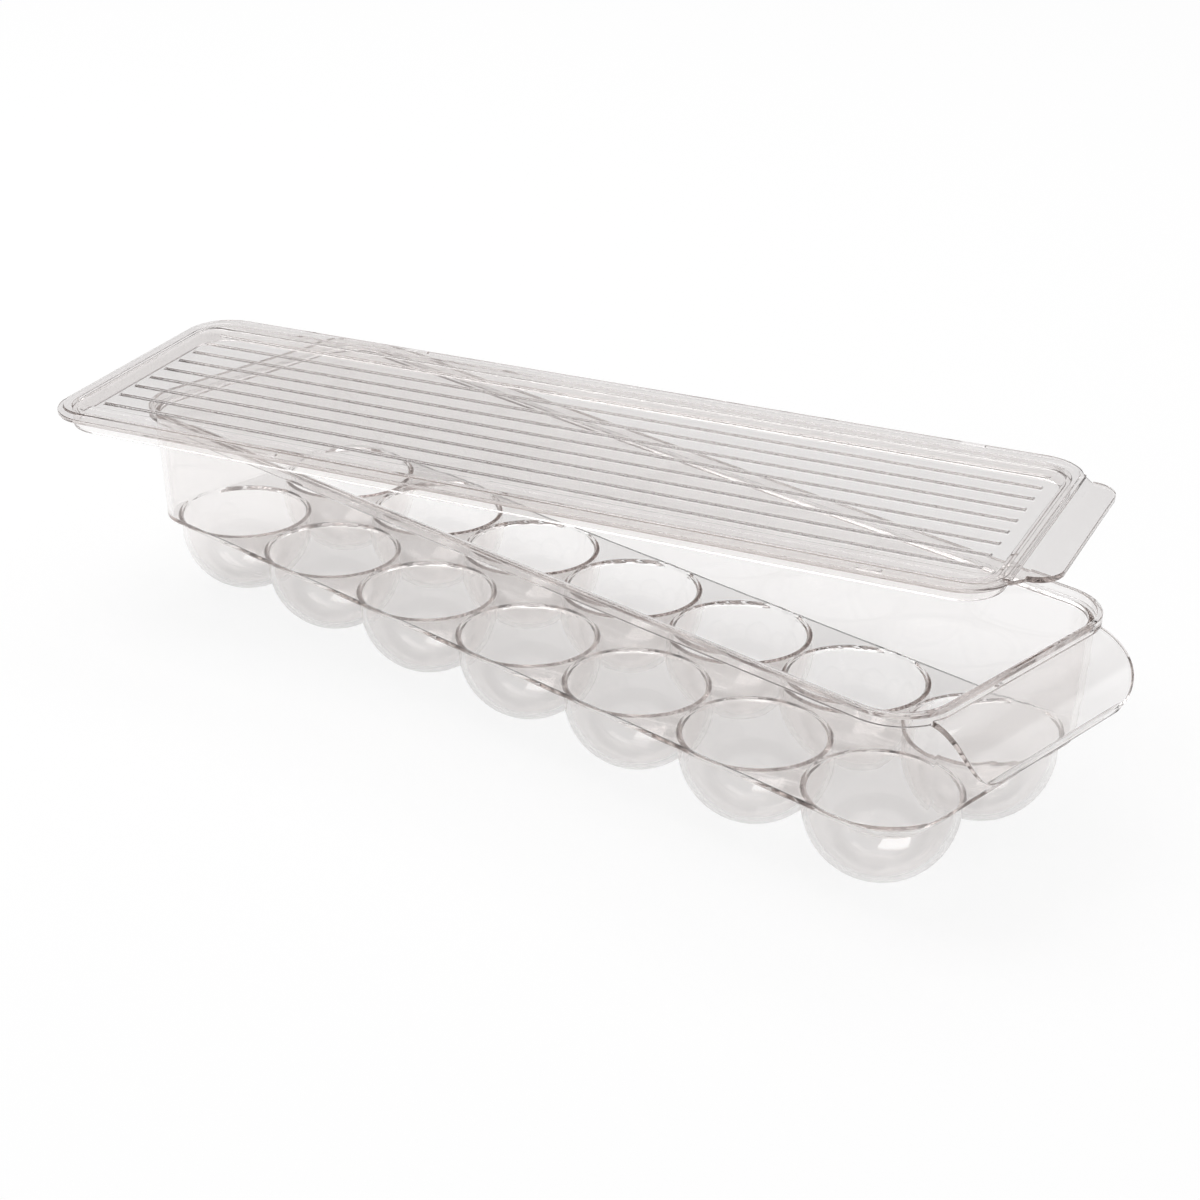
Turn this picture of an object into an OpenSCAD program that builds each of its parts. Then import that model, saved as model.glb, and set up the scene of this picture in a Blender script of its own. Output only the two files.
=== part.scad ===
// Egg keeper with lid: clear moulded tray with two rows of seven cups and a separate lid.
// Millimetres, +Z up. The origin is under the middle of the whole outline, in the plane the cups stand on.
// The lid lies turned and slightly tipped on the rim of the tray, as it was photographed.

/* [Cups] */
// Number of cups in each row
cups_per_row = 7; // [3:1:9]
// Distance between neighbouring cups of a row
cup_pitch = 48; // [47.6:0.2:54]
// Distance between the two rows
row_spacing = 49.8; // [48:0.2:51]
// Outer radius of a cup
cup_outer_radius = 23.7; // [22:0.1:23.7]
// Wall of a cup
cup_wall = 1.8; // [1.4:0.1:2.4]
// Diameter of the flat each cup stands on
cup_foot_diameter = 9; // [6:0.5:12]
// Bevel round the mouth of a cup
cup_mouth_bevel = 0.9; // [0.4:0.1:1]

/* [Tray] */
// Height from the table to the underside of the tray floor
floor_height = 27; // [25.5:0.5:30]
// Thickness of the tray floor
floor_thickness = 1.8; // [1.4:0.1:2.4]
// Inside width of the tray at the rim
inside_width = 99.5; // [99.5:0.5:104]
// Inside length past the outer cup centres, at each end
inside_end_length = 24.3; // [24.3:0.1:27]
// Side wall thickness
wall_thickness = 1.9; // [1.5:0.1:2.3]
// How far each wall leans outwards from floor to rim
wall_lean = 2.2; // [0:0.1:2.4]
// Outer corner radius of the wall at the rim
wall_corner_radius = 16; // [12:0.5:18]
// Bevel along the foot of the wall
wall_foot_bevel = 1.1; // [0.4:0.1:1.4]
// Height from the table to the shelf inside the rim
shelf_height = 67.3; // [62:0.1:76]
// How far the rim stands out past the wall
rim_overhang = 2.2; // [1.6:0.1:3]
// Thickness of the rim under its shelf
rim_thickness = 2; // [1.6:0.1:2.6]
// Height of the rim's outer lip over the shelf
lip_height = 2.4; // [1:0.1:3]
// Thickness of the outer lip
lip_thickness = 1.8; // [1.2:0.1:2]

/* [Handle] */
// Width of the handle across the tray
handle_width = 84; // [60:1:88]
// Outer radius of the rounded handle
handle_radius = 19; // [17:0.5:22]
// Distance from the rim end back to the centre of the handle curve
handle_setback = 4.7; // [4.2:0.1:5.2]
// Sheet thickness of the handle
handle_thickness = 2; // [1.6:0.1:2.6]
// Distance from the rim top down to the lower edge
handle_drop = 21.8; // [19:0.1:26]
// Radius of the two lower corners
handle_corner_radius = 14; // [6:0.5:18]
// Drop of the handle crown under the shelf
handle_crown_drop = 0.2; // [0.1:0.1:0.6]
// Bead thickness added inside the lower edge
handle_bead = 0.8; // [0.4:0.1:1.2]
// Height of that bead
handle_bead_height = 1.6; // [1.2:0.1:2.4]

/* [Lid] */
// Lid overhang past the rim of the tray, each side
lid_overhang = 0.75; // [0.3:0.05:1.5]
// How far the lid stays inside the rim of the tray, each end
lid_end_inset = 1.25; // [0.5:0.05:1.5]
// Corner radius of the lid
lid_corner_radius = 16; // [12:0.5:18]
// Thickness of the lid's outer band
lid_thickness = 2.2; // [2:0.1:2.8]
// Total depth of the lid with its skirt
lid_depth = 7.5; // [6:0.1:9]
// Sideways clearance between skirt and tray wall
skirt_clearance = 0.6; // [0.4:0.05:1]
// Thickness of the skirt
skirt_thickness = 1.8; // [1.4:0.1:2.2]
// Width of the low step along the two long edges
side_step_width = 4.2; // [2:0.1:4.6]
// Width of the low step along the two ends
end_step_width = 1.4; // [1:0.1:2]
// Height of the step
lid_step_height = 0.7; // [0.4:0.1:0.9]
// Distance from the long edges to the panel
side_band_width = 11.8; // [8:0.1:12]
// Distance from the ends to the panel
end_band_width = 5; // [3.5:0.1:8]
// Corner radius of the panel
panel_corner_radius = 7; // [4:0.5:9]
// Depth of the panel under the band
panel_recess = 0.9; // [0.5:0.1:1]
// Number of lengthwise ribs on the panel
rib_count = 9; // [3:2:9]
// Distance between ribs
rib_pitch = 9.25; // [8:0.05:9.5]
// Width of a rounded rib
rib_width = 2.4; // [1.6:0.1:3]
// Height of a rib
rib_height = 0.6; // [0.3:0.1:0.8]
// Gap between the rib ends and the band, next to the tab
rib_gap_near_tab = 5.5; // [2:0.5:12]
// Gap between the rib ends and the band, at the other end
rib_gap_far_from_tab = 10.5; // [2:0.5:12]
// Length of the nibs on the low step
nib_length = 8.5; // [4:0.5:12]
// Width of the nibs
nib_width = 1.4; // [1:0.1:2]
// Distance of the nib near the tab from the lid middle
nib_near_tab = 130; // [100:1:140]
// Distance of the other nib from the lid middle
nib_far_from_tab = 81; // [60:1:100]

/* [Lid tab] */
// How far the tab stands out from the lid end
tab_length = 12.8; // [10:0.1:16]
// Width of the tab at the lid
tab_root_width = 86; // [60:1:90]
// Width of the tab across its outer corners
tab_tip_width = 77; // [56:1:82]
// Radius of the outer corners of the tab
tab_corner_radius = 9; // [3:0.5:10]
// Drop of the tab top under the top of the lid
tab_drop = 0.2; // [0.2:0.1:0.6]
// Width of the groove between lid and tab
groove_width = 3.4; // [2:0.1:4]
// Depth of the groove
groove_depth = 0.8; // [0.4:0.1:0.9]

/* [Lid position] */
// Turn of the lid on the tray, about the vertical
lid_turn = 18; // [10:0.5:24]
// Tip of the lid along its length
lid_tip_length = 0.5; // [0:0.1:1]
// Tip of the lid across its width
lid_tip_width = 1.4; // [0:0.1:2]
// Lid centre from the tray centre, along the tray
lid_x = -27.5; // [-40:0.5:0]
// Lid centre from the tray centre, across the tray
lid_y = 14.4; // [0:0.2:24]
// Clearance between the lid and the rim it lies on
lid_seat_gap = 0.3; // [0.2:0.05:0.6]

/* [Hidden] */
$fn = 96;
eps = 0.5;
sink = 0.3;
row_length = (cups_per_row - 1) * cup_pitch;
cup_inner_radius = cup_outer_radius - cup_wall;
foot_radius = cup_foot_diameter / 2;
cup_centre_height = sqrt(cup_outer_radius * cup_outer_radius - foot_radius * foot_radius);
floor_top = floor_height + floor_thickness;
inside_length = row_length + 2 * inside_end_length;
wall_half_length = inside_length / 2 + wall_thickness;
wall_half_width = inside_width / 2 + wall_thickness;
corner_x = wall_half_length - wall_corner_radius;
corner_y = wall_half_width - wall_corner_radius;
wall_foot_radius = wall_corner_radius - wall_lean;
lean_per_mm = wall_lean / (shelf_height - floor_height);
rim_half_length = wall_half_length + rim_overhang;
rim_half_width = wall_half_width + rim_overhang;
rim_corner_radius = wall_corner_radius + rim_overhang;
rim_top = shelf_height + lip_height;
handle_start_x = wall_half_length - wall_thickness / 2;
handle_centre_height = shelf_height - handle_crown_drop - handle_radius;
handle_centre_x = rim_half_length - handle_setback;
handle_reach = handle_centre_x + handle_radius;
handle_foot_height = rim_top - handle_drop;
lid_half_length = rim_half_length - lid_end_inset;
lid_half_width = rim_half_width + lid_overhang;
skirt_half_length = inside_length / 2 - skirt_clearance;
skirt_half_width = inside_width / 2 - skirt_clearance;
skirt_corner_radius = wall_corner_radius - wall_thickness - skirt_clearance;
panel_half_length = lid_half_length - end_band_width;
panel_half_width = lid_half_width - side_band_width;
rib_length = 2 * panel_half_length - rib_gap_near_tab - rib_gap_far_from_tab;
rib_round_radius = (rib_width * rib_width / 4 + rib_height * rib_height) / (2 * rib_height);
skirt_crossing = (rim_half_width + lid_y - skirt_half_width * cos(lid_turn)) / sin(lid_turn);
lid_rise = sin(lid_tip_length) * skirt_crossing + sin(lid_tip_width) * skirt_half_width;
lid_base_height = rim_top + lid_seat_gap + lid_rise;
lid_reach_x = (lid_half_length - lid_corner_radius) * cos(lid_turn)
    + (lid_half_width - lid_corner_radius) * sin(lid_turn) + lid_corner_radius;
frame_x = (lid_reach_x - lid_x - handle_reach) / 2;
frame_y = -lid_y;
clear_colour = [0.87, 0.86, 0.85, 0.35];

// Plate with rounded corners, standing on its base height
module rounded_plate(half_length, half_width, radius, base, height) {
    translate([-half_length + radius, -half_width, base])
        cube([2 * (half_length - radius), 2 * half_width, height]);
    translate([-half_length, -half_width + radius, base])
        cube([2 * half_length, 2 * (half_width - radius), height]);
    for (sx = [-1, 1])
        for (sy = [-1, 1])
            translate([sx * (half_length - radius), sy * (half_width - radius), base])
                cylinder(r = radius, h = height);
}

// Runs a wall section round the tray: straight along the four sides and turned at the four corners
module round_the_tray() {
    for (half_turn = [0, 180])
        rotate([0, 0, half_turn]) {
            translate([corner_x, corner_y, 0])
                rotate([90, 0, 0])
                    linear_extrude(2 * corner_y)
                        children();
            translate([-corner_x, corner_y, 0])
                rotate([90, 0, 90])
                    linear_extrude(2 * corner_x)
                        children();
            translate([corner_x, corner_y, 0])
                rotate_extrude(angle = 90)
                    children();
            translate([-corner_x, corner_y, 0])
                rotate([0, 0, 90])
                    rotate_extrude(angle = 90)
                        children();
        }
}

// Repeats its child at every cup
module at_cups() {
    for (side = [-1, 1])
        for (i = [0:cups_per_row - 1])
            translate([i * cup_pitch - row_length / 2, side * row_spacing / 2, 0])
                children();
}

// Half section of a cup surface: round below, straight above, cut flat at the given height
module cup_section(radius, bottom, top) {
    intersection() {
        union() {
            translate([0, cup_centre_height])
                circle(r = radius);
            translate([0, cup_centre_height])
                square([radius, top - cup_centre_height]);
        }
        translate([0, bottom])
            square([radius, top - bottom]);
    }
}

// Outside of one cup, standing on its flat foot, with a straight neck up into the floor
module cup_outside() {
    rotate_extrude()
        cup_section(cup_outer_radius, 0, floor_height + floor_thickness / 2);
}

// Hollow of one cup with the bevelled mouth
module cup_inside() {
    rotate_extrude()
        cup_section(cup_inner_radius, cup_wall, floor_top + eps);
    translate([0, 0, floor_top - cup_mouth_bevel])
        cylinder(r1 = cup_inner_radius, r2 = cup_inner_radius + cup_mouth_bevel, h = cup_mouth_bevel);
}

// Section of floor edge, leaning wall and rim, measured outwards from the corner centre
module wall_section() {
    polygon([
        [0, floor_height],
        [wall_foot_radius - wall_foot_bevel, floor_height],
        [wall_foot_radius + lean_per_mm * wall_foot_bevel, floor_height + wall_foot_bevel],
        [wall_corner_radius - lean_per_mm * rim_thickness, shelf_height - rim_thickness],
        [rim_corner_radius, shelf_height - rim_thickness],
        [rim_corner_radius, rim_top],
        [rim_corner_radius - lip_thickness, rim_top],
        [rim_corner_radius - lip_thickness, shelf_height],
        [wall_corner_radius - wall_thickness, shelf_height],
        [wall_foot_radius + lean_per_mm * floor_thickness - wall_thickness, floor_top],
        [0, floor_top]
    ]);
}

// Floor, walls and rim in one shell
module shell() {
    round_the_tray()
        wall_section();
    translate([-corner_x, -corner_y, floor_height])
        cube([2 * corner_x, 2 * corner_y, floor_thickness]);
}

// Ring sector of the handle, cut in the plane along the tray and stretched across it
module handle_sheet() {
    rotate([90, 0, 0])
        linear_extrude(handle_width, center = true)
            difference() {
                union() {
                    translate([handle_centre_x, handle_centre_height])
                        rotate(180)
                            difference() {
                                circle(r = handle_radius);
                                circle(r = handle_radius - handle_thickness);
                            }
                    translate([handle_reach - handle_thickness - handle_bead, handle_foot_height])
                        square([handle_bead + handle_thickness / 2, handle_bead_height]);
                }
                translate([handle_start_x - 2 * handle_radius, 0])
                    square([2 * handle_radius, 2 * rim_top]);
                translate([handle_start_x - 1, 0])
                    square([2 * handle_radius, handle_foot_height]);
            }
}

// Outline of the handle seen from its end: straight sides and two rounded lower corners
module handle_outline() {
    half = handle_width / 2;
    r = handle_corner_radius;
    translate([0, -half, handle_foot_height + r])
        cube([2 * handle_reach, 2 * half, rim_top - handle_foot_height]);
    translate([0, -half + r, handle_foot_height])
        cube([2 * handle_reach, 2 * (half - r), 2 * r]);
    for (side = [-1, 1])
        translate([0, side * (half - r), handle_foot_height + r])
            rotate([0, 90, 0])
                cylinder(r = r, h = 2 * handle_reach);
}

module tray() {
    color(clear_colour)
        translate([frame_x, frame_y, 0])
            difference() {
                union() {
                    shell();
                    intersection() {
                        handle_sheet();
                        handle_outline();
                    }
                    at_cups()
                        cup_outside();
                }
                at_cups()
                    cup_inside();
            }
}

// Tab with angled sides, rounded outer corners and a groove next to the lid
module tab() {
    half_root = tab_root_width / 2;
    half_tip = tab_tip_width / 2;
    tip_x = lid_half_length + tab_length;
    r = tab_corner_radius;
    difference() {
        translate([0, 0, lid_depth - lid_thickness])
            linear_extrude(lid_thickness - tab_drop)
                union() {
                    polygon([
                        [lid_half_length - end_step_width - 1, -half_root],
                        [lid_half_length, -half_root],
                        [tip_x - r, -half_tip],
                        [tip_x, -half_tip + r],
                        [tip_x, half_tip - r],
                        [tip_x - r, half_tip],
                        [lid_half_length, half_root],
                        [lid_half_length - end_step_width - 1, half_root]
                    ]);
                    for (side = [-1, 1])
                        translate([tip_x - r, side * (half_tip - r)])
                            circle(r = r);
                }
        translate([lid_half_length, -half_root - eps, lid_depth - tab_drop - groove_depth])
            cube([groove_width, tab_root_width + 2 * eps, groove_depth + eps]);
    }
}

module lid_plate() {
    difference() {
        union() {
            rounded_plate(
                lid_half_length,
                lid_half_width,
                lid_corner_radius,
                lid_depth - lid_thickness,
                lid_thickness - lid_step_height
            );
            rounded_plate(
                lid_half_length - end_step_width,
                lid_half_width - side_step_width,
                lid_corner_radius - side_step_width,
                lid_depth - lid_thickness,
                lid_thickness
            );
        }
        rounded_plate(
            panel_half_length,
            panel_half_width,
            panel_corner_radius,
            lid_depth - panel_recess,
            panel_recess + eps
        );
    }
}

// Skirt that drops inside the tray wall when the lid is on
module skirt() {
    difference() {
        rounded_plate(skirt_half_length, skirt_half_width, skirt_corner_radius, 0, lid_depth - lid_thickness + 0.2);
        rounded_plate(
            skirt_half_length - skirt_thickness,
            skirt_half_width - skirt_thickness,
            skirt_corner_radius - skirt_thickness,
            -eps,
            lid_depth + 2 * eps
        );
    }
}

// Rounded ribs on the panel, cut from sunk cylinders
module ribs() {
    panel_top = lid_depth - panel_recess;
    intersection() {
        for (i = [0:rib_count - 1])
            translate([
                rib_gap_far_from_tab - panel_half_length,
                (i - (rib_count - 1) / 2) * rib_pitch,
                panel_top + rib_height - rib_round_radius
            ])
                rotate([0, 90, 0])
                    cylinder(r = rib_round_radius, h = rib_length);
        translate([-panel_half_length, -panel_half_width, panel_top - sink])
            cube([2 * panel_half_length, 2 * panel_half_width, rib_height + 1]);
    }
}

// Short raised nibs on the low step, in the same places on both long edges
module nibs() {
    for (side = [-1, 1])
        for (middle = [-nib_far_from_tab, nib_near_tab])
            translate([
                middle - nib_length / 2,
                side * (lid_half_width - side_step_width / 2) - nib_width / 2,
                lid_depth - lid_step_height - sink
            ])
                cube([nib_length, nib_width, lid_step_height + 0.1]);
}

module lid() {
    color(clear_colour)
        translate([frame_x + lid_x, frame_y + lid_y, lid_base_height])
            rotate([0, 0, lid_turn])
                rotate([lid_tip_width, -lid_tip_length, 0]) {
                    lid_plate();
                    skirt();
                    ribs();
                    nibs();
                    tab();
                }
}

tray();
lid();
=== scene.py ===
import math
import bpy
import bmesh
from mathutils import Matrix, Vector


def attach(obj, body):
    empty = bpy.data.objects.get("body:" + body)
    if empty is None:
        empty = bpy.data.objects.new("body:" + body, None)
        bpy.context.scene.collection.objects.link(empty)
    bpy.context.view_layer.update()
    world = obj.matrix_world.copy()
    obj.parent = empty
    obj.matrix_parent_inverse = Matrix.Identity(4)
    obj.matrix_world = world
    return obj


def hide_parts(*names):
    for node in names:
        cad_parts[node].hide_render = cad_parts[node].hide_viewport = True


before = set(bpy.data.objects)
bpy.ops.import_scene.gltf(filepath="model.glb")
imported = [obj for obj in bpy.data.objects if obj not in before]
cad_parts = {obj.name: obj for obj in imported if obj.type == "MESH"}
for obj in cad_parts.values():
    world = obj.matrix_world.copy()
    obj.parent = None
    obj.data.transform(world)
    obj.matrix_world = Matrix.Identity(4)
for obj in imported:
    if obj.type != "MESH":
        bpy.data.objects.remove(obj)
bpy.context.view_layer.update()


# Material: clear rigid plastic with a faint warm tint that deepens along the light's way through it
CLEAR = (0.965, 0.955, 0.95, 1)
TINT = (0.62, 0.52, 0.48, 1)


def clear_plastic(name, density):
    mat = bpy.data.materials.new(name)
    mat.use_nodes = True
    nodes = mat.node_tree.nodes
    shader = nodes["Principled BSDF"]
    shader.inputs["Base Color"].default_value = CLEAR
    shader.inputs["Roughness"].default_value = 0.02
    shader.inputs["IOR"].default_value = 1.5
    shader.inputs["Transmission Weight"].default_value = 1.0
    inside = nodes.new("ShaderNodeVolumeAbsorption")
    inside.inputs["Color"].default_value = TINT
    inside.inputs["Density"].default_value = density
    mat.node_tree.links.new(inside.outputs["Volume"], nodes["Material Output"].inputs["Volume"])
    return mat


# Mouldings: each CAD solid with its sharp edges rounded off, as a mould leaves them
SHARP = math.radians(30)
WELD = 2e-6
ROUNDING_STEPS = 3


def moulding(node, slot, edge_radius, density):
    bm = bmesh.new()
    bm.from_mesh(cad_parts[node].data)
    bmesh.ops.remove_doubles(bm, verts=bm.verts, dist=WELD)
    for face in bm.faces:
        face.smooth = True
    for edge in bm.edges:
        edge.smooth = edge.calc_face_angle(math.pi) < SHARP
    mesh = bpy.data.meshes.new(node + "_moulding")
    bm.to_mesh(mesh)
    bm.free()
    piece = bpy.data.objects.new(node + "_moulding", mesh)
    bpy.context.collection.objects.link(piece)
    edges = piece.modifiers.new("rounded_edges", "BEVEL")
    edges.width = edge_radius
    edges.segments = ROUNDING_STEPS
    edges.limit_method = "ANGLE"
    edges.angle_limit = SHARP
    edges.use_clamp_overlap = False
    edges.harden_normals = True
    mesh.materials.append(clear_plastic(slot, density))
    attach(piece, node)
    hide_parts(node)


moulding("tray", "tray_plastic", edge_radius=0.00035, density=10.0)
moulding("lid", "lid_plastic", edge_radius=0.00025, density=18.0)


# Floor: mostly white to the camera, in reflections and through the plastic; the rest keeps the shadow
SEEN_SHARE = 0.88
THROUGH_SHARE = 0.6
FLOOR_COLOUR = (0.9, 0.9, 0.9, 1)
FLOOR_WIDTH = 40
FLOOR_DROP = 0.0004


def math_node(tree, operation, first, second):
    step = tree.nodes.new("ShaderNodeMath")
    step.operation = operation
    tree.links.new(first, step.inputs[0])
    if isinstance(second, float):
        step.inputs[1].default_value = second
    else:
        tree.links.new(second, step.inputs[1])
    return step.outputs[0]


def white_floor_material():
    mat = bpy.data.materials.new("floor_white")
    mat.use_nodes = True
    tree = mat.node_tree
    tree.nodes.clear()
    ray = tree.nodes.new("ShaderNodeLightPath").outputs
    seen = math_node(tree, "MULTIPLY", ray["Is Camera Ray"], SEEN_SHARE)
    mirrored = math_node(tree, "MULTIPLY", ray["Is Glossy Ray"], THROUGH_SHARE)
    through = math_node(tree, "MULTIPLY", ray["Is Transmission Ray"], THROUGH_SHARE)
    share = math_node(tree, "MAXIMUM", math_node(tree, "MAXIMUM", seen, mirrored), through)
    lit = tree.nodes.new("ShaderNodeBsdfDiffuse")
    lit.inputs["Color"].default_value = FLOOR_COLOUR
    white = tree.nodes.new("ShaderNodeEmission")
    white.inputs["Color"].default_value = (1, 1, 1, 1)
    white.inputs["Strength"].default_value = 1.0
    mix = tree.nodes.new("ShaderNodeMixShader")
    out = tree.nodes.new("ShaderNodeOutputMaterial")
    tree.links.new(share, mix.inputs["Fac"])
    tree.links.new(lit.outputs[0], mix.inputs[1])
    tree.links.new(white.outputs[0], mix.inputs[2])
    tree.links.new(mix.outputs[0], out.inputs["Surface"])
    return mat


bpy.ops.mesh.primitive_plane_add(size=FLOOR_WIDTH, location=(0, 0, -FLOOR_DROP))
floor = bpy.context.object
floor.name = "floor"
floor.data.materials.append(white_floor_material())


# World: by the height looked at, a white backdrop low down, then a dim warm band, then a pale dome
WHITE = (1.0, 1.0, 1.0, 1)
DIM = (0.18, 0.155, 0.15, 1)
PALE = (0.85, 0.85, 0.86, 1)
SKY = ((0.0, WHITE), (0.20, WHITE), (0.32, DIM), (0.56, DIM), (0.68, PALE))


def studio_world():
    world = bpy.data.worlds.new("studio")
    world.use_nodes = True
    tree = world.node_tree
    tree.nodes.clear()
    way = tree.nodes.new("ShaderNodeTexCoord")
    parts = tree.nodes.new("ShaderNodeSeparateXYZ")
    tone = tree.nodes.new("ShaderNodeValToRGB")
    stops = tone.color_ramp.elements
    while len(stops) < len(SKY):
        stops.new(0.5)
    for stop, (height, colour) in zip(stops, SKY):
        stop.position = height
        stop.color = colour
    sky = tree.nodes.new("ShaderNodeBackground")
    sky.inputs["Strength"].default_value = 1.0
    out = tree.nodes.new("ShaderNodeOutputWorld")
    tree.links.new(way.outputs["Generated"], parts.inputs[0])
    tree.links.new(parts.outputs["Z"], tone.inputs["Fac"])
    tree.links.new(tone.outputs["Color"], sky.inputs["Color"])
    tree.links.new(sky.outputs[0], out.inputs["Surface"])
    return world


# Lamps: a soft box high up beyond the end without the handle, and a long one high up behind the tray
def soft_box(name, place, target, size, power, turn=0):
    data = bpy.data.lights.new(name, "AREA")
    data.shape = "RECTANGLE"
    data.size, data.size_y = size
    data.energy = power
    lamp = bpy.data.objects.new(name, data)
    bpy.context.collection.objects.link(lamp)
    lamp.location = place
    aim = (Vector(target) - Vector(place)).to_track_quat("-Z", "Y").to_matrix().to_4x4()
    lamp.rotation_euler = (aim @ Matrix.Rotation(math.radians(turn), 4, "Z")).to_euler()


soft_box("key", place=(-0.6, -0.2, 1.5), target=(-0.6, -0.2, 0), size=(1.3, 0.7), power=11, turn=18)
soft_box("fill", place=(-0.3, 1.0, 1.6), target=(0, 0, 0), size=(1.8, 0.6), power=6)


# Camera: fitted to the cup grid and rim in the photo
AZIMUTH = math.radians(42.57)
ELEVATION = math.radians(25.34)
ROLL = math.radians(1.01)
CAMERA_PLACE = (0.51370, -0.55617, 0.38305)
SENSOR_WIDTH = 36
FOCAL_LENGTH = 73.656


def photo_camera():
    away = Vector((
        math.sin(AZIMUTH) * math.cos(ELEVATION),
        -math.cos(AZIMUTH) * math.cos(ELEVATION),
        math.sin(ELEVATION),
    ))
    level = Vector((math.cos(AZIMUTH), math.sin(AZIMUTH), 0))
    upright = away.cross(level)
    right = level * math.cos(ROLL) + upright * math.sin(ROLL)
    up = upright * math.cos(ROLL) - level * math.sin(ROLL)
    turned = Matrix((right, up, away)).transposed().to_4x4()
    turned.translation = CAMERA_PLACE
    data = bpy.data.cameras.new("camera")
    data.sensor_width = SENSOR_WIDTH
    data.lens = FOCAL_LENGTH
    data.clip_start = 0.01
    data.clip_end = 100
    camera = bpy.data.objects.new("camera", data)
    bpy.context.collection.objects.link(camera)
    camera.matrix_world = turned
    return camera


# Enough bounces for light to pass all the clear walls that lie behind each other
BOUNCES = 64

scene = bpy.context.scene
scene.world = studio_world()
scene.camera = photo_camera()
scene.view_settings.view_transform = "Standard"
scene.cycles.max_bounces = BOUNCES
scene.cycles.transmission_bounces = BOUNCES
scene.cycles.glossy_bounces = BOUNCES
